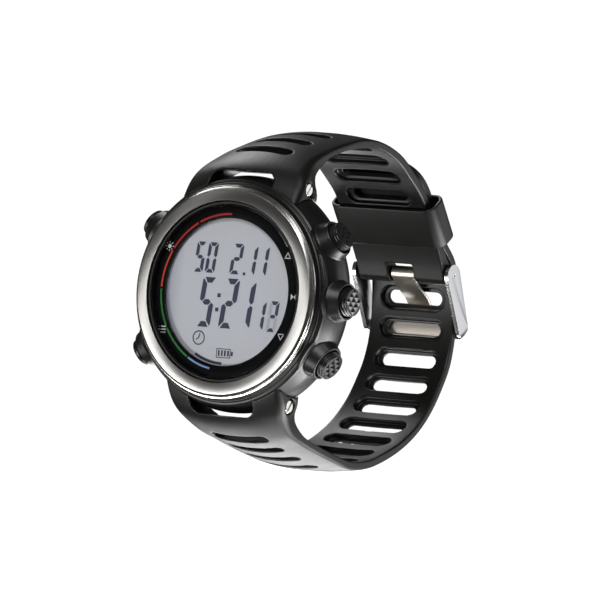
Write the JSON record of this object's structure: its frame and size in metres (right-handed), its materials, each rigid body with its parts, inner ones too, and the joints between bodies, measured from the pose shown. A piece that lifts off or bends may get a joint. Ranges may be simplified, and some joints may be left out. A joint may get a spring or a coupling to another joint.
{
  "type": "digital sports wristwatch",
  "caption": "Round digital sports wristwatch with a brushed bezel, side pushers and a slotted rubber strap buckled in a loop.",
  "frame": {"origin": "centre of the case back's outer face, which rests on the wrist", "axes": "+Y is the outward normal of the case back, so the dial faces -Y; +Z runs from the dial centre to 12 o'clock, +X to 3 o'clock"},
  "size_m": [0.0528, 0.0784, 0.0709],
  "materials": {
    "case_plastic": "black moulded plastic with a fine satin grain",
    "pusher_plastic": "black satin plastic",
    "brushed_bezel": "steel brushed in circles, polished on the chamfer",
    "brushed_steel": "brushed steel",
    "polished_steel": "bright steel",
    "crystal": "clear mineral glass",
    "seal_rubber": "dark seal rubber",
    "dial_print": "gloss black print with thin coloured arcs",
    "lcd_glass": "grey liquid crystal display with dark segments",
    "white_plastic": "white moulded plastic",
    "board_green": "green solder resist",
    "chip_black": "black epoxy",
    "copper": "copper and brass",
    "strap_rubber": "black moulded polyurethane rubber with a soft sheen"
  },
  "bodies": {
    "watch": {"case_middle": "case_plastic", "bezel_ring": "brushed_bezel", "lens": "crystal", "lens_gasket": "seal_rubber", "dial_mask": "dial_print", "lcd_panel": "lcd_glass", "backlight_panel": "white_plastic", "module_frame": "white_plastic", "display_connector_upper": "seal_rubber", "display_connector_lower": "seal_rubber", "circuit_board": "board_green", "processor_chip": "chip_black", "battery": "polished_steel", "battery_clip": "polished_steel", "receiver_coil": "copper", "buzzer_disc": "copper", "case_back": "brushed_steel", "back_gasket": "seal_rubber", "back_screw_1": "polished_steel", "back_screw_2": "polished_steel", "back_screw_3": "polished_steel", "back_screw_4": "polished_steel", "strap_upper": "strap_rubber", "strap_lower": "strap_rubber", "lug_tube_upper": "polished_steel", "lug_tube_lower": "polished_steel", "lug_screw_upper_left": "polished_steel", "lug_screw_upper_right": "polished_steel", "lug_screw_lower_left": "polished_steel", "lug_screw_lower_right": "polished_steel", "buckle_bar": "polished_steel", "pusher_spring_start_stop": "polished_steel", "pusher_seal_start_stop": "seal_rubber", "pusher_spring_upper_right": "polished_steel", "pusher_seal_upper_right": "seal_rubber", "pusher_spring_lower_right": "polished_steel", "pusher_seal_lower_right": "seal_rubber", "pusher_spring_light": "polished_steel", "pusher_seal_light": "seal_rubber", "pusher_spring_mode": "polished_steel", "pusher_seal_mode": "seal_rubber"},
    "pusher_start_stop": {"pusher_start_stop": "pusher_plastic", "pusher_clip_start_stop": "polished_steel"},
    "pusher_upper_right": {"pusher_upper_right": "pusher_plastic", "pusher_clip_upper_right": "polished_steel"},
    "pusher_lower_right": {"pusher_lower_right": "pusher_plastic", "pusher_clip_lower_right": "polished_steel"},
    "pusher_light": {"pusher_light": "pusher_plastic", "pusher_clip_light": "polished_steel"},
    "pusher_mode": {"pusher_mode": "pusher_plastic", "pusher_clip_mode": "polished_steel"},
    "buckle_frame": {"buckle_frame": "brushed_steel"},
    "buckle_tongue": {"buckle_tongue": "brushed_steel"},
    "keeper": {"keeper": "strap_rubber"}
  },
  "joints": [
    {"name": "press_start_stop", "type": "slide", "parent": "watch", "child": "pusher_start_stop", "axis": [-1, 0, 0], "range_m": [0, 0.001], "stiffness_N_per_m": 1500, "springref_m": -0.0005, "deforming": ["pusher_spring_start_stop"]},
    {"name": "press_upper_right", "type": "slide", "parent": "watch", "child": "pusher_upper_right", "axis": [-0.866, 0, -0.5], "range_m": [0, 0.001], "stiffness_N_per_m": 1500, "springref_m": -0.0005, "deforming": ["pusher_spring_upper_right"]},
    {"name": "press_lower_right", "type": "slide", "parent": "watch", "child": "pusher_lower_right", "axis": [-0.866, 0, 0.5], "range_m": [0, 0.001], "stiffness_N_per_m": 1500, "springref_m": -0.0005, "deforming": ["pusher_spring_lower_right"]},
    {"name": "press_light", "type": "slide", "parent": "watch", "child": "pusher_light", "axis": [0.866, 0, -0.5], "range_m": [0, 0.001], "stiffness_N_per_m": 1500, "springref_m": -0.0005, "deforming": ["pusher_spring_light"]},
    {"name": "press_mode", "type": "slide", "parent": "watch", "child": "pusher_mode", "axis": [0.866, 0, 0.5], "range_m": [0, 0.001], "stiffness_N_per_m": 1500, "springref_m": -0.0005, "deforming": ["pusher_spring_mode"]},
    {"name": "buckle_frame_pivot", "type": "hinge", "parent": "watch", "child": "buckle_frame", "pos_m": [0, 0.0559, 0.00905], "axis": [1, 0, 0], "range_deg": [0, 2.5]},
    {"name": "buckle_tongue_pivot", "type": "hinge", "parent": "buckle_frame", "child": "buckle_tongue", "pos_m": [0, 0.0559, 0.00905], "axis": [1, 0, 0], "range_deg": [0, 1.5]},
    {"name": "keeper_slide", "type": "slide", "parent": "watch", "child": "keeper", "axis": [0, 0.62, -0.7846], "range_m": [-0.002, 0.0025]}
  ]
}
